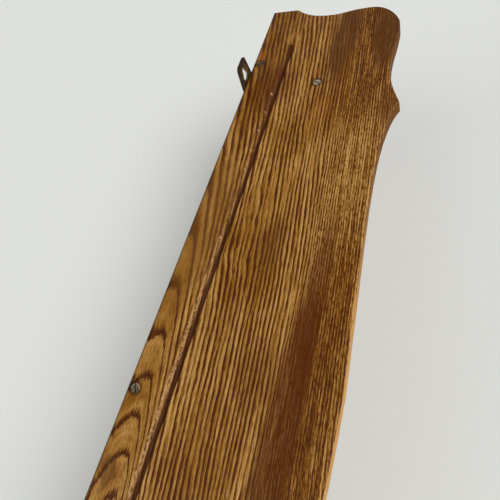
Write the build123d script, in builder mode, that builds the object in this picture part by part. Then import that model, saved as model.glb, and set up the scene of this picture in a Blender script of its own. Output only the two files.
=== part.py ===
"""Oak wall shelf with a plate groove.

A thin shaped board sits on a back rail and two brackets, is screwed down through its top,
and hangs on the wall from two brass keyhole plates.

Frame, in millimetres: +X along the shelf to the viewer's right, +Y towards the wall, +Z up.
The origin is on the wall, midway between the two hanging keyholes.
"""
from build123d import *

import os
from math import radians, tan

# Board
shelf_length = 838.2
shelf_depth = 152.4
board_thickness = 12.7
board_arris = 0.9

# Plate groove, parallel to the back edge
groove_inset = 34.5
groove_width = 6.6
groove_depth = 3.0
groove_end_inset = 55.5
groove_cutter_radius = 110.0
groove_cutter_clearance = 1.0

# Back rail
rail_thickness = 12.7
rail_height = 165.1
rail_end_inset = 57.0
rail_arris = 1.2

# Brackets
bracket_thickness = 19.0
bracket_reach = 114.3
bracket_height = 146.0
bracket_nose = 15.0
bracket_inset = 112.7
bracket_arris = 1.0

# Hanging plates
plate_thickness = 1.6
plate_inset = 106.0
plate_rise = 22.0
plate_top_width = 20.0
plate_neck_width = 26.0
plate_neck_drop = 1.0
plate_base_width = 38.0
plate_base_drop = 29.0
plate_base_height = 12.0
plate_top_corner = 5.0
plate_base_corner = 4.0
keyhole_rise = 6.5
keyhole_radius = 4.8
keyhole_slot_radius = 2.8
keyhole_slot_rise = 6.0
plate_screw_spacing = 25.0
plate_screw_drop = 22.0

# Slotted countersunk wood screws, No. 6 in the wood and No. 3 in the plates
countersink_angle = 82
structure_head_radius = 3.5
structure_shank_radius = 1.75
structure_length = 31.75
brass_head_radius = 2.6
brass_shank_radius = 1.4
brass_length = 11.0
head_sunk = 0.35
plate_head_sunk = 0.05
hole_clearance = 0.05
tip_clearance = 1.0
slot_overrun = 1.0

# A screw's own proportions: shares of its head's radius, of its shank's radius and of its thread's pitch
head_rim_share = 0.08
slot_width_share = 0.3
slot_depth_share = 0.3
root_share = 0.66
pitch_share = 0.8
point_share = 2.2
thread_fall_share = 0.3
thread_floor_share = 0.55

# Places of the screws
rail_screw_inset = 82.2
bracket_screw_depth = 73.5
bracket_back_screw_drops = {"upper": 30.0, "lower": 104.0}

# How far inside a face an edge's middle lies before it counts as shaped
edge_margin = 1.0

# Derived planes and places
half_length = shelf_length / 2
back = -plate_thickness
board_top = -keyhole_rise
board_bottom = board_top - board_thickness
rail_front = back - rail_thickness
rail_middle = back - rail_thickness / 2
bracket_x = half_length - bracket_inset
plate_x = half_length - plate_inset
sides = {"left": -1, "right": 1}

os.makedirs("parts", exist_ok=True)


def save(part, name):
    """Label a finished piece and write it to its own file."""
    part.label = name
    export_step(part, f"parts/{name}.step")


def countersink_radius(head_radius, sunk):
    """The mouth of a countersink whose cone just meets the head, sunk this far below the surface."""
    return head_radius + (sunk + head_rim_share * head_radius) * tan(radians(countersink_angle / 2))


def on_board(from_end, from_back):
    """A point of the board's plan, measured from its right end and its back edge."""
    return (half_length - from_end, back - from_back)


# ---------------------------------------------------------------- shelf board
def board_plan():
    """The board's plan. Each half has a straight shoulder, hollow neck, round lobe, pointed tip and bow."""
    shoulder = on_board(0, 28.3)
    neck_back = on_board(12.7, 52.5)
    neck_front = on_board(13.1, 75.9)
    lobe_side = on_board(7.8, 105.5)
    lobe_corner = on_board(15.2, 126.2)
    lobe_shoulder = on_board(28, 135.8)
    lobe_front = on_board(47, 139.2)
    waist = on_board(86, 137.8)
    tip_rise = on_board(120, 143.2)
    tip = on_board(140.8, 152.1)
    tip_hollow = on_board(166, 145)
    bow_hollow = on_board(218, 142.5)
    bow_rise = on_board(320, 147.8)
    bow_full = on_board(385, 151.9)
    middle_front = (0, back - shelf_depth)
    with BuildSketch(Plane.XY.offset(board_bottom)) as plan:
        with BuildLine():
            Polyline((0, back), on_board(0, 0), shoulder)
            Spline(shoulder, neck_back, neck_front, lobe_side, tangents=[(-1, -1.15), (0.05, -1)])
            Spline(lobe_side, lobe_corner, lobe_shoulder, lobe_front, tangents=[(0.05, -1), (-1, 0)])
            Spline(lobe_front, waist, tip_rise, tip, tangents=[(-1, 0), (-1, -0.45)])
            Spline(tip, tip_hollow, bow_hollow, bow_rise, bow_full, middle_front, tangents=[(-1, 0.55), (-1, 0)])
            mirror(about=Plane.YZ)
        make_face()
    return plan.sketch


def groove_cutter():
    """The space a round-nosed wheel takes out: it plunges in, runs along the board and lifts out."""
    nose = (groove_width ** 2 / 4 + groove_depth ** 2) / (2 * groove_depth)
    floor = board_top - groove_depth + nose
    lift = groove_depth + groove_cutter_clearance
    run_out = (2 * groove_cutter_radius * groove_depth) ** 0.5
    straight_end = half_length - groove_end_inset - run_out
    groove_y = back - groove_inset
    climb = (2 * groove_cutter_radius * lift) ** 0.5
    with BuildPart() as cutter:
        with BuildLine(Plane.XZ.offset(-groove_y)) as path:
            Line((-straight_end, floor), (straight_end, floor))
            for side in sides.values():
                RadiusArc(
                    (side * straight_end, floor),
                    (side * (straight_end + climb), floor + lift),
                    -side * groove_cutter_radius,
                )
        start = path.wire() @ 0
        heading = path.wire() % 0
        with BuildSketch(Plane(origin=start, z_dir=heading)):
            Circle(nose)
        sweep(path=path.wire())
    return cutter.part


def board_screw_places():
    """Where screws go down through the board: three along the rail and one over each bracket."""
    rail_x = half_length - rail_screw_inset
    places = {
        "rail_screw_left": (-rail_x, rail_middle),
        "rail_screw_middle": (0, rail_middle),
        "rail_screw_right": (rail_x, rail_middle),
    }
    for side_name, side in sides.items():
        places[f"bracket_top_screw_{side_name}"] = (side * bracket_x, back - bracket_screw_depth)
    return places


board_screws = board_screw_places()

with BuildPart() as shelf_board:
    extrude(board_plan(), amount=board_thickness)
    faces_by_height = shelf_board.faces().sort_by(Axis.Z)
    chamfer(faces_by_height[0].edges() + faces_by_height[-1].edges(), board_arris)
    add(groove_cutter(), mode=Mode.SUBTRACT)
    with Locations(*[(x, y, board_top) for x, y in board_screws.values()]):
        CounterSinkHole(
            radius=structure_shank_radius + hole_clearance,
            counter_sink_radius=countersink_radius(structure_head_radius, head_sunk),
            counter_sink_angle=countersink_angle,
        )
save(shelf_board.part, "shelf_board")


# ----------------------------------------------------------------- back rail
def bracket_back_screw_places():
    """Where screws go forwards through the rail into each bracket, an upper and a lower one."""
    return {
        f"bracket_back_screw_{side_name}_{level}": (side * bracket_x, board_bottom - drop)
        for side_name, side in sides.items()
        for level, drop in bracket_back_screw_drops.items()
    }


def plate_screw_places():
    """Where the two small screws of each hanging plate go, the inner one nearer the shelf's middle."""
    return {
        f"plate_screw_{side_name}_{place}": (
            side * (plate_x + outward * plate_screw_spacing / 2),
            board_top - plate_screw_drop,
        )
        for side_name, side in sides.items()
        for place, outward in (("inner", -1), ("outer", 1))
    }


bracket_back_screws = bracket_back_screw_places()
plate_screws = plate_screw_places()


def below_board(edges):
    """The edges that don't lie against the underside of the board."""
    return [edge for edge in edges if edge.center().Z < board_bottom - edge_margin]


def on_rail(from_end, from_top):
    """A point of the rail's face, measured from its right end and its top edge."""
    return (half_length - rail_end_inset - from_end, board_bottom - from_top)


def rail_face():
    """The rail's front view: shaped ends, a foot behind each bracket and a long bow between the feet."""
    top_corner = on_rail(0, 0)
    end_corner = on_rail(0, 74)
    end_hollow = on_rail(11, 103)
    foot_side = on_rail(7, 138)
    foot_front = on_rail(34, rail_height)
    foot_back = on_rail(74, rail_height)
    tip = on_rail(104, 146)
    bow_hollow = on_rail(170, 124)
    middle_bottom = (0, board_bottom - 134)
    with BuildSketch(Plane.XZ.offset(-back)) as face:
        with BuildLine():
            Polyline((0, board_bottom), top_corner, end_corner)
            Spline(end_corner, end_hollow, foot_side, foot_front, tangents=[(-1, -0.9), (-1, 0)])
            Line(foot_front, foot_back)
            Spline(foot_back, tip, tangents=[(-1, 0), (-1, 0.9)])
            Spline(tip, bow_hollow, middle_bottom, tangents=[(-1, 1.1), (-1, 0)])
            mirror(about=Plane.YZ)
        make_face()
    return face.sketch


with BuildPart() as back_rail:
    extrude(rail_face(), amount=rail_thickness)
    front_face = back_rail.faces().sort_by(Axis.Y)[0]
    chamfer(below_board(front_face.edges()), rail_arris)
    with Locations(*[Plane((x, y, board_bottom)) for x, y in board_screws.values() if y == rail_middle]):
        Hole(structure_shank_radius + hole_clearance, depth=structure_length - board_thickness)
    with Locations(*[Plane((x, back, z), z_dir=(0, 1, 0)) for x, z in bracket_back_screws.values()]):
        CounterSinkHole(
            radius=structure_shank_radius + hole_clearance,
            counter_sink_radius=countersink_radius(structure_head_radius, head_sunk),
            counter_sink_angle=countersink_angle,
        )
    with Locations(*[Plane((x, back, z), z_dir=(0, 1, 0)) for x, z in plate_screws.values()]):
        Hole(brass_shank_radius + hole_clearance, depth=brass_length - plate_thickness)
save(back_rail.part, "back_rail")


# ------------------------------------------------------------------ brackets
def bracket_side(x):
    """A bracket's side view at one place along the shelf: nose, hollow, belly and toe."""
    def on_bracket(forward, down):
        return (rail_front - forward, board_bottom - down)

    nose_top = on_bracket(bracket_reach, 0)
    nose_bottom = on_bracket(bracket_reach, bracket_nose)
    quirk = on_bracket(bracket_reach - 6, bracket_nose)
    hollow = on_bracket(82, 44)
    turn = on_bracket(55, 60)
    belly = on_bracket(35, 82)
    waist = on_bracket(26, 120)
    toe_top = on_bracket(20, 120)
    toe_bottom = on_bracket(14, bracket_height)
    with BuildSketch(Plane.YZ.offset(x)) as side_view:
        with BuildLine():
            Polyline(on_bracket(0, bracket_height), on_bracket(0, 0), nose_top, nose_bottom, quirk)
            Spline(quirk, hollow, turn, belly, waist, tangents=[(0.1, -1), (0, -1)])
            Line(waist, toe_top)
            Spline(toe_top, toe_bottom, tangents=[(0, -1), (1, -0.9)])
            Line(toe_bottom, on_bracket(0, bracket_height))
        make_face()
    return side_view.sketch


for side_name, side in sides.items():
    x = side * bracket_x
    with BuildPart() as bracket:
        extrude(bracket_side(x - bracket_thickness / 2), amount=bracket_thickness)
        cheeks = bracket.faces().sort_by(Axis.X)
        cheek_edges = below_board(cheeks[0].edges() + cheeks[-1].edges())
        chamfer([edge for edge in cheek_edges if edge.center().Y < rail_front - edge_margin], bracket_arris)
        with Locations((x, back - bracket_screw_depth, board_bottom)):
            Hole(structure_shank_radius + hole_clearance, depth=structure_length - board_thickness)
        with Locations(*[Plane((x, rail_front, board_bottom - drop), z_dir=(0, 1, 0))
                         for drop in bracket_back_screw_drops.values()]):
            Hole(structure_shank_radius + hole_clearance, depth=structure_length - rail_thickness)
    save(bracket.part, f"bracket_{side_name}")


# ------------------------------------------------------------- hanging plates
def plate_face(x):
    """A hanging plate's outline: flat rounded top, sides that flare to a broad base, and the keyhole."""
    top = board_top + plate_rise
    neck = board_top - plate_neck_drop
    base_top = board_top - plate_base_drop + plate_base_height
    bottom = board_top - plate_base_drop
    with BuildSketch(Plane.XZ) as face:
        with BuildLine():
            Line((x, top), (x + plate_top_width / 2, top))
            Line((x + plate_top_width / 2, top), (x + plate_neck_width / 2, neck))
            Spline(
                (x + plate_neck_width / 2, neck),
                (x + plate_base_width / 2, base_top),
                tangents=[(0.14, -1), (0.3, -1)],
            )
            Polyline((x + plate_base_width / 2, base_top), (x + plate_base_width / 2, bottom), (x, bottom))
            mirror(about=Plane.YZ.offset(x))
        make_face()
        fillet(face.vertices().group_by(Axis.Y)[-1], plate_top_corner)
        fillet(face.vertices().group_by(Axis.Y)[0], plate_base_corner)
        with Locations((x, 0)):
            Circle(keyhole_radius, mode=Mode.SUBTRACT)
        with Locations((x, keyhole_slot_rise / 2)):
            SlotCenterToCenter(keyhole_slot_rise, 2 * keyhole_slot_radius, rotation=90, mode=Mode.SUBTRACT)
    return face.sketch


for side_name, side in sides.items():
    with BuildPart() as hanging_plate:
        extrude(plate_face(side * plate_x), amount=plate_thickness)
        with Locations(*[Plane((x, 0, z), z_dir=(0, 1, 0))
                         for screw_name, (x, z) in plate_screws.items() if side_name in screw_name]):
            CounterSinkHole(
                radius=brass_shank_radius + hole_clearance,
                counter_sink_radius=countersink_radius(brass_head_radius, plate_head_sunk),
                counter_sink_angle=countersink_angle,
            )
    save(hanging_plate.part, f"hanging_plate_{side_name}")


# -------------------------------------------------------------------- screws
def wood_screw(seat, head_radius, shank_radius, length, slot_turn):
    """A slotted countersunk wood screw, with its head on the seat plane and its point away from the normal."""
    slot_direction = seat.x_dir.rotate(Axis((0, 0, 0), seat.z_dir), slot_turn)
    head = Plane(seat.origin, x_dir=slot_direction, z_dir=seat.z_dir)
    side_view = Plane(head.origin, x_dir=head.x_dir, z_dir=-head.y_dir)
    cone_height = (head_radius - shank_radius) / tan(radians(countersink_angle / 2))
    rim = head_rim_share * head_radius
    root_radius = root_share * shank_radius
    pitch = pitch_share * shank_radius
    thread_start = -length / 3 - cone_height / 2
    ridges = int((length + thread_start - point_share * shank_radius) / pitch)
    profile = [(0, 0), (head_radius - rim / 2, 0), (head_radius, -rim), (shank_radius, -cone_height - rim)]
    profile.append((shank_radius, thread_start))
    for ridge in range(ridges):
        top = thread_start - ridge * pitch
        profile.append((root_radius, top - thread_fall_share * pitch))
        profile.append((root_radius, top - thread_floor_share * pitch))
        profile.append((shank_radius, top - pitch))
    profile.append((root_radius, thread_start - (ridges + thread_fall_share) * pitch))
    profile.append((0, -length))
    with BuildPart() as screw:
        with BuildSketch(side_view):
            with BuildLine():
                Polyline(*profile, close=True)
            make_face()
        revolve(axis=Axis(head.origin, head.z_dir))
        with BuildSketch(head):
            Rectangle(2 * head_radius + slot_overrun, slot_width_share * head_radius)
        extrude(amount=-slot_depth_share * head_radius, mode=Mode.SUBTRACT)
    return screw.part


def seat_facing_up(x, y):
    """The plane that a screw head lies on, a little below the board's top."""
    return Plane((x, y, board_top - head_sunk), z_dir=(0, 0, 1), x_dir=(1, 0, 0))


def seat_facing_wall(x, y, z):
    """The plane that a screw head lies on when it is driven forwards from behind."""
    return Plane((x, y, z), z_dir=(0, 1, 0), x_dir=(1, 0, 0))


# How far each slot happened to stop from the shelf's length, in degrees
slot_turns = {
    "rail_screw_left": 71,
    "rail_screw_middle": 25,
    "rail_screw_right": 104,
    "bracket_top_screw_left": 158,
    "bracket_top_screw_right": 56.5,
    "bracket_back_screw_left_upper": 12,
    "bracket_back_screw_left_lower": 84,
    "bracket_back_screw_right_upper": 137,
    "bracket_back_screw_right_lower": 49,
    "plate_screw_left_inner": 33,
    "plate_screw_left_outer": 96,
    "plate_screw_right_inner": 151,
    "plate_screw_right_outer": 64,
}

structure_reach = structure_length - head_sunk - tip_clearance
brass_reach = brass_length - plate_head_sunk - tip_clearance
structure_screw = (structure_head_radius, structure_shank_radius, structure_reach)
brass_screw = (brass_head_radius, brass_shank_radius, brass_reach)

screw_seats = {name: (seat_facing_up(x, y), structure_screw) for name, (x, y) in board_screws.items()}
for name, (x, z) in bracket_back_screws.items():
    screw_seats[name] = (seat_facing_wall(x, back - head_sunk, z), structure_screw)
for name, (x, z) in plate_screws.items():
    screw_seats[name] = (seat_facing_wall(x, -plate_head_sunk, z), brass_screw)

for name, (seat, sizes) in screw_seats.items():
    save(wood_screw(seat, *sizes, slot_turns[name]), name)
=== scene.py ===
from math import radians

import bmesh
import bpy
from mathutils import Color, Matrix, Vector


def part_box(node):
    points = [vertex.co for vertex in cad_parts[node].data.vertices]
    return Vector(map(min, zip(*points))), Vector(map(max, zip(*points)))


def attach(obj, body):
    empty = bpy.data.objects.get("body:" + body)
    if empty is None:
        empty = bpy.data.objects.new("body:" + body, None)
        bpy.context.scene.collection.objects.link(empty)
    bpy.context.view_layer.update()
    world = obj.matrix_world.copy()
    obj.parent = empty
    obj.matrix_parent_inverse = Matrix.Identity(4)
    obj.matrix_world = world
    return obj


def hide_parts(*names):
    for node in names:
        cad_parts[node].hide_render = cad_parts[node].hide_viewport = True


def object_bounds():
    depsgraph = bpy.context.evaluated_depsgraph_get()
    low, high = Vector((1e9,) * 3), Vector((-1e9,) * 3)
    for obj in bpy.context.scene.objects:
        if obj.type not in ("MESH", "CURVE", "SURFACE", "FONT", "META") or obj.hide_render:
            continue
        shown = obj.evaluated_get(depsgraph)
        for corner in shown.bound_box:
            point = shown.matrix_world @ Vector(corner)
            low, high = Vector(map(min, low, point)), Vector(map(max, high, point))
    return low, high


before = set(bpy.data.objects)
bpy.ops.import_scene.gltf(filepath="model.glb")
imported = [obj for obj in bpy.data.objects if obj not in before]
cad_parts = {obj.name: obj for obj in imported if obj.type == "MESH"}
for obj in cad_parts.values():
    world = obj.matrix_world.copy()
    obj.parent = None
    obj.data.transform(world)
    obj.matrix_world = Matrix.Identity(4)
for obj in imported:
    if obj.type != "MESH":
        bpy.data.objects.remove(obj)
cad_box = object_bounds()
scene = bpy.context.scene


# ---------------------------------------------------------------- viewpoint
# The shelf seen from above its middle, looking down along it to its right-hand end.
# The camera stands above the board and a little in front of its front edge.
board_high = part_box("shelf_board")[1]
camera_height = 0.2985
camera_from_wall = 0.2056
camera_past_middle = -0.0337
camera_turn = (31.322, 17.486, -73.183)
focal_length = 33.6

lens = bpy.data.cameras.new("viewpoint")
lens.sensor_width = 36
lens.lens = focal_length
camera = bpy.data.objects.new("viewpoint", lens)
camera.location = (camera_past_middle, board_high.y - camera_from_wall, board_high.z + camera_height)
camera.rotation_euler = [radians(angle) for angle in camera_turn]
scene.collection.objects.link(camera)
scene.camera = camera


# -------------------------------------------------------------- shelf board
# One plain-sawn oak board, shaped at both ends, with a plate groove run along it near the wall.
# It is brown-stained, varnished by brush and old: the pores are dark, the stain has gone patchy,
# and the groove's wall-side lip is rubbed through by the rims of plates and carries a painted highlight.
class Value:
    """One socket of a finish. Sums on it add Math nodes to that finish."""

    def __init__(self, socket):
        self.socket = socket

    def node(self, kind, settings, inputs, output=0):
        """Adds a node to this finish: its settings are made first, then its sockets are set or linked."""
        tree = self.socket.id_data
        node = tree.nodes.new("ShaderNode" + kind)
        for setting, choice in settings.items():
            if setting == "stops":
                lay_stops(node.color_ramp, choice)
            else:
                setattr(node, setting, choice)
        for socket, value in inputs.items():
            if isinstance(value, Value):
                tree.links.new(value.socket, node.inputs[socket])
            else:
                node.inputs[socket].default_value = value
        return Value(node.outputs[output])

    def math(self, operation, *values):
        return self.node("Math", {"operation": operation}, dict(enumerate(values)))

    def __add__(self, other):
        return self.math("ADD", self, other)

    def __radd__(self, other):
        return self.math("ADD", other, self)

    def __sub__(self, other):
        return self.math("SUBTRACT", self, other)

    def __rsub__(self, other):
        return self.math("SUBTRACT", other, self)

    def __mul__(self, other):
        return self.math("MULTIPLY", self, other)

    def __rmul__(self, other):
        return self.math("MULTIPLY", other, self)

    def __truediv__(self, other):
        return self.math("DIVIDE", self, other)

    def __pow__(self, other):
        return self.math("POWER", self, other)


def lay_stops(ramp, stops):
    """Sets a ramp's stops from pairs of place and colour."""
    while len(ramp.elements) < len(stops):
        ramp.elements.new(1)
    for element, (place, colour) in zip(ramp.elements, stops):
        element.position = place
        element.color = colour


def paint(red, green, blue):
    """A colour given as it looks on a paint card, 0 to 255, as the shader wants it."""
    return (*Color((red / 255, green / 255, blue / 255)).from_srgb_to_scene_linear(), 1)


def start_finish(name):
    """A new material, its shader node and the point being shaded."""
    finish = bpy.data.materials.new(name)
    finish.use_nodes = True
    shader = finish.node_tree.nodes["Principled BSDF"]
    point = Value(finish.node_tree.nodes.new("ShaderNodeTexCoord").outputs["Object"])
    return finish, shader, point


def wire(finish, shader, **links):
    """Links what changes over the surface to the shader, such as Base_Color or Roughness."""
    for socket, value in links.items():
        finish.node_tree.links.new(value.socket, shader.inputs[socket.replace("_", " ")])


def in_millimetres(point, corner, signs):
    """How far the point is from a piece's corner along X, Y and Z, in millimetres.

    Each sign is -1 where the distance is counted back along that axis.
    """
    scale = [1000 * sign for sign in signs]
    start = [-there * size for there, size in zip(corner, scale)]
    moved = point.node(
        "Mapping", {"vector_type": "POINT"}, {"Vector": point, "Location": start, "Scale": scale}
    )
    return [moved.node("SeparateXYZ", {}, {"Vector": moved}, output=axis) for axis in range(3)]


def fade(value, start, end):
    """0 up to the start, 1 from the end, and smooth between them. The start may be the greater."""
    return value.node(
        "MapRange",
        {"interpolation_type": "SMOOTHSTEP"},
        {"Value": value, "From Min": start, "From Max": end},
    )


def apart(value, place):
    """How far a distance is from a place, either way."""
    return value.math("ABSOLUTE", value - place)


def blend(share, first, second, mode="MIX"):
    """The first colour where the share is 0, mixed with the second as the share grows."""
    return share.node(
        "Mix", {"data_type": "RGBA", "blend_type": mode}, {0: share, 6: first, 7: second}, output=2
    )


def noise(x, y, z, detail=2, roughness=0.5):
    """Cloudy noise from 0 to 1, about one lump for each unit of x, y and z.

    A distance divided by a number in millimetres so gives lumps of about that size.
    """
    where = x.node("CombineXYZ", {}, {0: x, 1: y, 2: z})
    return x.node(
        "TexNoise", {}, {"Vector": where, "Scale": 1, "Detail": detail, "Roughness": roughness}
    )


def patch(along, across, centre, reach):
    """A soft-edged oval area, 1 in its middle. Its centre and reach are along and across the grain."""
    far = ((along - centre[0]) / reach[0]) ** 2 + ((across - centre[1]) / reach[1]) ** 2
    return fade(far, 1.5, 0.35)


def growth_rings(across_from_heart, heart_depth):
    """How many growth rings out from the heart a point is. The rings near the heart are narrower."""
    outer_ring_width = 3.8
    narrow_rings = 13.4
    narrow_reach = 7.35
    reach = (across_from_heart ** 2 + heart_depth ** 2) ** 0.5
    return reach / outer_ring_width - narrow_rings * reach.math("EXPONENT", reach / -narrow_reach)


def oak(finish, shader, along, across, depth, rings,
        slow_growth=0, crown=0, shading=0, dull=0, colouring=None, slope=0, seed=0):
    """Old varnished oak: dark open pores at the start of each ring, paler wood after them.

    rings counts the growth rings, slow_growth is 1 where they are too narrow to tell apart,
    crown is 1 in the arches over the heart, shading darkens the wood and keeps its figure,
    dull is 1 where the varnish has gone, the colouring function changes the wood's colour:
    its stains and wear, and on the board also painted shade and highlights,
    slope is how far the fibres stray across for each millimetre along,
    and seed gives each piece of wood a figure of its own.
    """
    ring_width = 3.7
    dark_pore = paint(70, 30, 0)
    brown_wood = paint(104, 58, 4)
    golden_wood = paint(140, 95, 34)
    pale_wood = paint(190, 146, 84)
    satin_roughness = 0.30
    varnish = 0.05

    fibre = across - slope * along + 1.5 * noise(along / 45, across / 20, depth / 30 + seed)
    from_pith = rings * ring_width
    jag = noise(along / 9, fibre / 0.9, depth / 1.5 + seed, detail=3, roughness=0.6)
    jagged_rings = rings + (0.28 + 0.2 * crown) * (jag - 0.5)
    ring = rings.math("FRACT", jagged_rings)
    ring_count = rings.math("FLOOR", jagged_rings)
    # The noise is read at a far-off place for each ring, so that each has its own strength and width.
    strength = noise(along / 60, ring_count * 3.7 + seed, depth / 40) + 0.25 * crown
    width = 0.24 + 0.44 * noise(along / 40, ring_count * 5.3 + 20 + seed, depth / 40)
    width = width * (1 - 0.55 * crown)
    porous = fade(ring, 0, 0.07) * fade(ring / width, 1.6, 0.35) * fade(strength, 0.18, 0.60)

    dashes = noise(along / 11, fibre / 0.6, depth / 0.8 + seed, detail=4, roughness=0.65)
    hairs = noise(along / 20, fibre / 0.45, depth / 0.5 + 7 + seed, detail=3, roughness=0.6)
    flecks = noise(along / 5, fibre / 0.8, depth / 0.8 + 15 + seed, detail=3, roughness=0.6)
    streaks = noise(along / 75, from_pith / 3.0, depth / 4 + 11 + seed, detail=3, roughness=0.6)
    mottle = noise(along / 40, across / 9, depth / 12 + 3 + seed, detail=4, roughness=0.6)
    pores = fade(dashes + 0.22 * porous, 0.54, 0.70)
    lines = porous * (0.45 + 0.55 * fade(dashes, 0.34, 0.60))

    tone = (
        0.88
        - (0.74 - 0.40 * slow_growth) * lines
        - 0.34 * pores
        - (0.16 + 0.30 * slow_growth) * fade(flecks, 0.46, 0.64)
        + (0.70 + 0.50 * slow_growth) * (hairs - 0.5)
        + (0.90 + 0.50 * slow_growth) * (streaks - 0.5)
        + 0.45 * (mottle - 0.5)
        - 0.16 * crown
        - shading
    )
    stops = [(0.10, dark_pore), (0.36, brown_wood), (0.62, golden_wood), (0.95, pale_wood)]
    colour = tone.node("ValToRGB", {"stops": stops}, {"Fac": tone})
    if colouring:
        colour = colouring(colour)

    height = -0.10 * pores - 0.05 * porous + 0.03 * hairs + 0.05 * mottle
    relief = height.node("Bump", {}, {"Height": height, "Distance": 0.001, "Strength": 0.7})
    rough = satin_roughness + 0.18 * pores + 0.14 * (mottle - 0.5) + 0.45 * dull
    wire(finish, shader, Base_Color=colour, Roughness=rough, Normal=relief)
    shader.inputs["Specular IOR Level"].default_value = 0.18
    if dull:
        wire(finish, shader, Coat_Weight=varnish - varnish * dull)
    else:
        shader.inputs["Coat Weight"].default_value = varnish
    shader.inputs["Coat Roughness"].default_value = 0.15


# Places are in millimetres along the board from its right-hand end, across it from the wall and down.
board_middle = 419
board_thickness = 12.7
heart_place = 420
heart_crossing = 16
heart_slope = 0.10
heart_limit = 27
crown_place = 520
crown_blunt = 80
arch_length = 2.4
arch_start = 111
slow_start = 96
slow_slope = 0.03
fibre_slope = 0.09
swirl_place = (275, 54)
swirl_reach = (60, 14)
groove_line = 34.5
groove_half = 3.3
groove_half_length = 370
front_start = 100
board_screws = ["rail_screw_right", "rail_screw_middle", "rail_screw_left"]
board_screws += ["bracket_top_screw_right", "bracket_top_screw_left"]

finish, shader, point = start_finish("oak_board")
along, across, depth = in_millimetres(point, board_high, (-1, -1, -1))
wander = noise(along / 130, across / 30, depth / 60)
ripple = noise(along / 26, across / 9, depth / 12)
straight_heart = heart_crossing + heart_slope * (along - heart_place)
heart = along.math("SMOOTH_MIN", straight_heart, heart_limit, 12)
off_crown = ((along - crown_place) ** 2 + crown_blunt ** 2) ** 0.5
heart_depth = (arch_length * off_crown - arch_start) ** 0.5 + depth
swirl = patch(along, across, swirl_place, swirl_reach)
off_heart = across - heart + 9 * (wander - 0.5) + (1.8 + 3.5 * swirl) * (ripple - 0.5)
from_heart = 0.65 * off_heart + 0.35 * off_heart.math("ABSOLUTE", off_heart)
past_slow = across - slow_slope * along - slow_start
slow_growth = fade(past_slow, -4, 12)
past_middle = along.math("SMOOTH_MAX", across - 74, 0, 10)
rings = growth_rings(from_heart, heart_depth)
rings = rings + past_slow.math("MAXIMUM", past_slow, 0) / 6 + past_middle / 18
crown = fade(from_heart, 22, 4) * fade(along, 200, 360)
# Each shaded area has its centre and its reach along and across the board, and how much darker it is.
shaded = [
    ((40, 50), (170, 110), 0.09),
    ((60, 12), (120, 24), 0.16),
    ((260, 12), (100, 22), 0.08),
    ((60, 116), (110, 26), 0.16),
    ((400, 136), (130, 17), 0.26),
    ((30, 128), (40, 20), 0.12),
    ((285, 64), (62, 30), 0.15),
    ((455, 70), (46, 26), 0.17),
    ((360, 76), (60, 26), 0.07),
    ((150, 88), (34, 16), 0.08),
]
shading = sum(patch(along, across, centre, reach) * amount for centre, reach, amount in shaded)
from_middle = apart(along, board_middle)
below_top = fade(depth, 0.02, 0.25) * fade(depth, 8, 6)
cut_in = below_top * fade(from_middle, groove_half_length + 10, groove_half_length)
groove_walls = cut_in * fade(apart(across, groove_line), groove_half + 0.8, groove_half)
on_edge = fade(depth, 0.85, 1.3) * fade(depth, board_thickness - 0.1, board_thickness - 0.5)
front_face = on_edge * fade(across, front_start - 10, front_start + 10)
dull = groove_walls.math("MAXIMUM", groove_walls, front_face)


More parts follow.
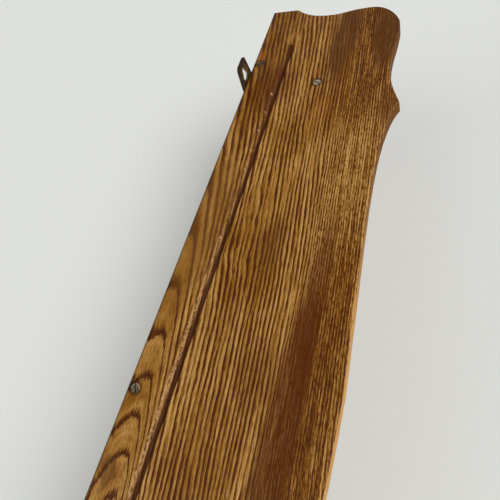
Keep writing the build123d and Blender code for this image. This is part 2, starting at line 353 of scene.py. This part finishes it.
def board_stain_and_light(colour):
    """Where the board's old stain is darker, redder or worn pale, and where shade and highlights are
    painted.

    Each area has its centre and its reach along and across the board, its colour and its strength.
    """
    drift_along = along + 26 * (noise(along / 22, across / 8, depth / 20 + 5, detail=3) - 0.5)
    drift_across = across + 9 * (noise(along / 30, across / 7, depth / 20 + 9, detail=3) - 0.5)
    fibre = across - fibre_slope * along
    fray = noise(along / 45, fibre / 1.6, depth / 3 + 4, detail=3, roughness=0.65)
    drift_across = drift_across + 11 * (fray - 0.5)
    streaky = 0.10 + 1.8 * noise(along / 24, fibre / 0.7, depth + 6, detail=3, roughness=0.6)
    brown = paint(82, 45, 10)
    red = paint(80, 36, 0)
    orange = paint(190, 104, 42)
    gold = paint(190, 136, 62)
    honey = paint(124, 82, 34)
    areas = [
        ((50, 88), (66, 13), brown, 0.80),
        ((48, 131), (50, 14), brown, 0.75),
        ((142, 145), (26, 12), red, 0.60),
        ((118, 27), (34, 17), red, 0.55),
        ((425, 119), (110, 13), red, 0.80),
        ((330, 120), (80, 9), red, 0.50),
        ((290, 75), (24, 12), brown, 0.42),
        ((275, 14), (80, 17), honey, 0.42),
        ((392, 93), (28, 16), red, 0.32),
        ((474, 10), (9, 9), brown, 0.60),
        ((620, 60), (70, 14), brown, 0.35),
        ((760, 112), (60, 16), brown, 0.60),
        ((700, 25), (40, 12), red, 0.45),
        ((150, 86), (18, 7), orange, 0.10),
        ((71, 6), (12, 5), orange, 0.24),
        ((97, 71), (4, 2.5), orange, 0.18),
        ((47, 31), (10, 4), gold, 0.35),
    ]
    for centre, reach, tint, amount in areas:
        share = patch(drift_along, drift_across, centre, reach) * amount
        colour = blend(share * streaky, colour, tint)

    # The wood is painted darker round each screw head.
    screw_surround = paint(120, 100, 84)
    surround_reach = (6, 6)
    for screw in board_screws:
        head = sum(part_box(screw), Vector()) / 2
        round_head = [(board_high - head)[axis] * 1000 for axis in (0, 1)]
        near_screw = patch(along, across, round_head, surround_reach)
        colour = blend(near_screw * 0.8, colour, screw_surround, mode="MULTIPLY")

    # The groove is painted darker, browner on its walls and dark brown along its floor: partly old dirt
    # and wax, partly painted shade in the recess.
    groove_brown = paint(92, 48, 16)
    groove_dirt_and_shade = paint(60, 24, 2)
    dirt_and_shade_line = 34.2
    colour = blend(groove_walls * 0.35, colour, groove_brown)
    from_dirt_and_shade = apart(across - 0.5 * fade(along, 300, 230), dirt_and_shade_line)
    in_groove = cut_in * fade(from_dirt_and_shade, 2.6, 1.2)
    colour = blend(in_groove * (0.64 + streaky * 0.26), colour, groove_dirt_and_shade)

    lip_line = 31.1
    lip_shadow = paint(84, 44, 8)
    bare_and_lit_oak = paint(200, 158, 108)
    glint_colour = paint(206, 164, 122)
    beside_lip = fade(apart(across, lip_line - 2.4), 1.3, 0.4)
    beside_lip = beside_lip * fade(along, 90, 130) * fade(along, 460, 380)
    colour = blend(beside_lip * 0.45 * streaky, colour, lip_shadow)
    # The groove's wall-side lip is painted pale: partly rubbed bare, partly a painted highlight where it
    # faces the light.
    lip = fade(across, lip_line - 1.5, lip_line - 0.9) * fade(across, lip_line + 1.4, lip_line + 0.4)
    chatter = noise(along / 2.2, across / 2.5, depth, detail=3)
    rubbed_and_lit = lip * fade(chatter, 0.36, 0.66) * (0.12 + 0.88 * fade(along, 210, 410))
    colour = blend(rubbed_and_lit * 0.8, colour, bare_and_lit_oak)
    # Small pale spots along the lip are painted glints.
    glints = [(125.9, 1.3), (149.5, 0.8), (172.7, 1.0), (196.4, 0.7), (218.2, 0.8), (288.5, 1.2)]
    for place, size in glints:
        glint = patch(along, across, (place, lip_line), (size, 0.7 * size))
        colour = blend(glint * 0.7, colour, glint_colour)

    # Painted shade: the top arrises along the wall side and at the end are painted dark.
    edge_shade = paint(36, 20, 8)
    near_top = fade(depth, 2.5, 0.8)
    wall_line = fade(across, 2.1, 0.9) * near_top
    end_line = fade(along, 2.2, 0.6) * near_top
    shaded_edge = wall_line.math("MAXIMUM", wall_line * 0.85, end_line * 0.5)
    colour = blend(shaded_edge, colour, edge_shade)

    # The front edge is painted brown towards its shaped ends, partly painted shade, and paler in its
    # middle, partly rubbed and partly a painted highlight where it faces the light.
    front_brown = paint(104, 60, 8)
    rubbed_and_lit_front = paint(206, 154, 90)
    end_brown = paint(104, 58, 6)
    edge_wood = blend(fade(from_middle, 235, 40), front_brown, rubbed_and_lit_front)
    edge_wood = blend(fade(from_middle, 276, 284), edge_wood, end_brown)
    return blend(front_face * 0.8, colour, edge_wood)


oak(finish, shader, along, across, depth, rings,
    slow_growth, crown, shading, dull, board_stain_and_light, slope=fibre_slope)


def eased_copy(node, name, easing, finish):
    """A copy of a CAD piece, shown in its place, with its triangles joined up and its edges rounded."""
    same_point = 0.000002
    flat_within = radians(0.4)
    sharp_from = radians(28)
    shape = bmesh.new()
    shape.from_mesh(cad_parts[node].data)
    bmesh.ops.remove_doubles(shape, verts=shape.verts, dist=same_point)
    bmesh.ops.dissolve_limit(shape, angle_limit=flat_within, verts=shape.verts, edges=shape.edges)
    for face in shape.faces:
        face.smooth = True
    mesh = bpy.data.meshes.new(name)
    shape.to_mesh(mesh)
    shape.free()
    piece = bpy.data.objects.new(name, mesh)
    scene.collection.objects.link(piece)
    mesh.materials.append(finish)
    rounding = piece.modifiers.new("rounding", "BEVEL")
    rounding.width = easing
    rounding.segments = 2
    rounding.limit_method = "ANGLE"
    rounding.angle_limit = sharp_from
    rounding.miter_outer = "MITER_ARC"
    flats = piece.modifiers.new("flats", "WEIGHTED_NORMAL")
    flats.keep_sharp = True
    flats.weight = 100
    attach(piece, "root")
    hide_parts(node)
    return piece


sanded_edge = 0.0003
board = eased_copy("shelf_board", "oak_board", sanded_edge, finish)


# ---------------------------------------------------------------- back rail
# A second oak board on edge, which stiffens the shelf and lies against the wall.
# The shelf board is screwed down into its top edge, and its lower edge is sawn to a long bow.
rail_low, rail_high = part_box("back_rail")
rail_corner = (rail_high.x, rail_low.y, rail_high.z)
finish, shader, point = start_finish("oak_rail")
along, depth, across = in_millimetres(point, rail_corner, (-1, 1, -1))
wander = noise(along / 140, across / 40, depth / 60 + 30)
ripple = noise(along / 30, across / 10, depth / 12 + 30)
rail_heart = 96
rail_crown_place = 250
rail_crown_blunt = 70
rail_arch_length = 1.9
rail_arch_start = 60
from_heart = across - rail_heart + 14 * (wander - 0.5) + 1.8 * (ripple - 0.5)
off_crown = ((along - rail_crown_place) ** 2 + rail_crown_blunt ** 2) ** 0.5
heart_depth = (rail_arch_length * off_crown - rail_arch_start) ** 0.5 + depth
rings = growth_rings(from_heart, heart_depth)


def rail_darker_low(colour):
    """The rail's colour, painted darker low down."""
    darkened = paint(86, 48, 17)
    return blend(fade(across, 60, 170) * 0.35, colour, darkened)


crown = fade(from_heart, 30, 5)
oak(finish, shader, along, across, depth, rings, crown=crown, colouring=rail_darker_low, seed=31)
rail = eased_copy("back_rail", "oak_rail", sanded_edge, finish)


# ----------------------------------------------------------------- brackets
# Two thick oak brackets, sawn to a nose, a hollow and a toe, with their grain upright.
# Each is screwed through the rail from behind and held to the board by one screw from above.
for side_name in ("left", "right"):
    node = f"bracket_{side_name}"
    bracket_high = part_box(node)[1]
    finish, shader, point = start_finish(f"oak_{node}")
    depth, across, along = in_millimetres(point, bracket_high, (-1, -1, -1))
    wander = noise(along / 110, across / 40, depth / 60 + bracket_high.x * 100)
    heart_behind = 24
    heart_depth = 16 + depth + along / 14
    rings = growth_rings(across + heart_behind + 9 * (wander - 0.5), heart_depth)
    oak(finish, shader, along, across, depth, rings, seed=50 + 9 * (side_name == "left"))
    bracket = eased_copy(node, f"oak_{node}", sanded_edge, finish)


# ----------------------------------------------------------- hanging plates
# A stamped brass plate on the back of the shelf near each end, screwed to the rail.
# Its keyhole hooks over a screw in the wall. The brass has gone nearly black, with a little
# green low down, and only the keyhole's rim is bright: partly rubbed, partly a painted glint.
for node in ("hanging_plate_left", "hanging_plate_right"):
    plate_low, plate_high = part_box(node)
    keyhole = ((plate_low.x + plate_high.x) / 2, plate_high.y, 0)
    finish, shader, point = start_finish(f"tarnished_{node}")
    x, y, z = in_millimetres(point, keyhole, (1, 1, 1))
    from_keyhole = (x ** 2 + (z - 3) ** 2) ** 0.5
    cloud = noise(x / 4, z / 4, y / 2, detail=5, roughness=0.65)
    speck = noise(x / 0.7, z / 0.7, y / 0.7, detail=3, roughness=0.6)
    scratches = noise(x / 5 + z / 0.25, z / 5 - x / 0.3, y, detail=3)
    black_brass = paint(40, 30, 22)
    brown_brass = paint(78, 62, 44)
    green_brass = paint(92, 108, 74)
    bright_brass = paint(196, 164, 104)
    colour = blend(fade(cloud, 0.35, 0.65), black_brass, brown_brass)
    green = fade(z, 2, -20) * fade(speck + cloud, 0.90, 1.15) * 0.7
    colour = blend(green, colour, green_brass)
    # The keyhole's rim is painted bright, partly rubbed and partly a painted glint; the bright scratches
    # are wear.
    bright = fade(from_keyhole, 9.5, 6.5) * fade(cloud + 0.4 * speck, 0.55, 0.85)
    bright = bright.math("MAXIMUM", bright, 0.5 * fade(scratches, 0.66, 0.72))
    colour = blend(bright * 0.9, colour, bright_brass)
    height = 0.05 * speck + 0.06 * cloud
    relief = height.node("Bump", {}, {"Height": height, "Distance": 0.001, "Strength": 0.8})
    rough = 0.62 - 0.30 * bright + 0.15 * (speck - 0.5)
    metallic = 0.55 + 0.4 * bright
    wire(finish, shader, Base_Color=colour, Roughness=rough, Metallic=metallic, Normal=relief)
    stamped_edge = 0.00015
    plate = eased_copy(node, f"brass_{node}", stamped_edge, finish)


# ------------------------------------------------------------------- screws
# Slotted countersunk wood screws: steel through the board and the rail, small brass ones in the plates.
# The heads were varnished over and have been rubbed by cloths since. Their slots are painted dark.
def screw_finish(node, bright, dull, film):
    """Worn metal with a painted highlight on one side of the head's rim,
    dark in the slot and brown where varnish is left.

    bright and dull are the metal's colours, and film is how much of the varnish is left.
    """
    head_low, head_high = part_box(node)
    long_way = max(range(3), key=lambda axis: (head_high - head_low)[axis])
    top_middle = (head_low + head_high) / 2
    top_middle[long_way] = head_high[long_way]
    finish, shader, point = start_finish(f"{node}_metal")
    x, y, z = in_millimetres(point, top_middle, (1, 1, 1))
    below_top = 0 - (x, y, z)[long_way]
    across_head = [(x, y, z)[axis] for axis in range(3) if axis != long_way]
    from_axis = (across_head[0] ** 2 + across_head[1] ** 2) ** 0.5
    head_radius = (head_high - head_low)[(long_way + 1) % 3] * 1000 / 2
    cloud = noise(x / 1.6, y / 1.6, z / 1.6, detail=4, roughness=0.6)
    turning = noise(x / 0.25, y / 0.9, z / 0.9)
    colour = blend(fade(cloud + 0.3 * turning, 0.55, 1.0), dull, bright)
    # A painted highlight: one side of the head's rim is painted bright, as if lit.
    lit_side = fade(across_head[0] / head_radius + 1.6 * cloud, 0.5, 0.9)
    lit_rim = fade(from_axis / head_radius, 0.80, 0.94) * lit_side
    colour = blend(lit_rim, colour, bright)
    sunk = fade(below_top, 0.15, 0.55)
    varnish = fade(cloud, 0.72 - 0.5 * film, 0.86 - 0.5 * film)
    covered = sunk.math("MAXIMUM", sunk, varnish * (0.8 - 0.6 * lit_rim))
    varnish_brown = paint(92, 70, 44)
    # The slot is painted near black.
    slot_dark = paint(34, 22, 12)
    colour = blend(covered, colour, blend(sunk, varnish_brown, slot_dark))
    height = 0.03 * turning + 0.05 * cloud
    relief = height.node("Bump", {}, {"Height": height, "Distance": 0.001, "Strength": 0.8})
    rough = 0.38 + 0.30 * covered + 0.2 * (cloud - 0.5)
    metallic = 0.45 - 0.4 * covered
    wire(finish, shader, Base_Color=colour, Roughness=rough, Metallic=metallic, Normal=relief)
    return finish


# Each metal has its bright colour and its dull one.
steel = (paint(224, 212, 190), paint(166, 152, 126))
grey_steel = (paint(214, 198, 166), paint(84, 70, 50))
brown_steel = (paint(116, 98, 64), paint(86, 66, 36))
brass = (paint(176, 148, 98), paint(98, 78, 48))
for node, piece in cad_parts.items():
    if node.startswith("plate_screw"):
        metal, film = brass, 0.45
    elif node.startswith("bracket_top_screw"):
        metal, film = steel, 0.10
    elif node == "rail_screw_right":
        metal, film = brown_steel, 0.75
    elif "screw" in node:
        metal, film = grey_steel, 0.42
    else:
        continue
    piece.data.materials[0] = screw_finish(node, *metal, film)


# ------------------------------------------------------------ room and light
# A plain pale floor under the shelf, a large soft light on its front side and a weaker one behind.
# The room's walls are pale all round and its ceiling is dim, so the varnish isn't veiled from above.
floor_half_width = 30
floor_mesh = bpy.data.meshes.new("floor")
floor_shape = bmesh.new()
bmesh.ops.create_grid(floor_shape, x_segments=1, y_segments=1, size=floor_half_width)
bmesh.ops.translate(floor_shape, verts=floor_shape.verts, vec=(0, 0, cad_box[0][2]))
floor_shape.to_mesh(floor_mesh)
floor_shape.free()
floor = bpy.data.objects.new("floor", floor_mesh)
scene.collection.objects.link(floor)
floor_finish, floor_shader = start_finish("pale_floor")[:2]
pale_floor = paint(222, 224, 221)
floor_shader.inputs["Base Color"].default_value = pale_floor
floor_shader.inputs["Roughness"].default_value = 0.8
floor_mesh.materials.append(floor_finish)


def soft_light(name, source, strength, spread):
    """Even light from a far window, which lies towards the source and looks this many degrees wide."""
    lamp = bpy.data.lights.new(name, "SUN")
    lamp.energy = strength
    lamp.angle = radians(spread)
    light = bpy.data.objects.new(name, lamp)
    light.rotation_euler = Vector(source).to_track_quat("Z", "Y").to_euler()
    scene.collection.objects.link(light)


soft_light("window", (-0.2, -0.8, 1.05), 3.05, 48)
soft_light("fill", (-0.8, 0.6, 1.0), 0.75, 60)

ceiling = paint(50, 42, 26)
pale_wall = paint(222, 224, 226)
ceiling_from = 0.42
wall_up_to = 0.14
scene.world = bpy.data.worlds.new("room")
scene.world.use_nodes = True
room = scene.world.node_tree.nodes["Background"]
skyward = Value(scene.world.node_tree.nodes.new("ShaderNodeTexCoord").outputs["Generated"])
height = skyward.node("SeparateXYZ", {}, {"Vector": skyward}, output="Z")
glow = blend(fade(height, ceiling_from, wall_up_to), ceiling, pale_wall)
scene.world.node_tree.links.new(glow.socket, room.inputs["Color"])
scene.view_settings.view_transform = "Standard"
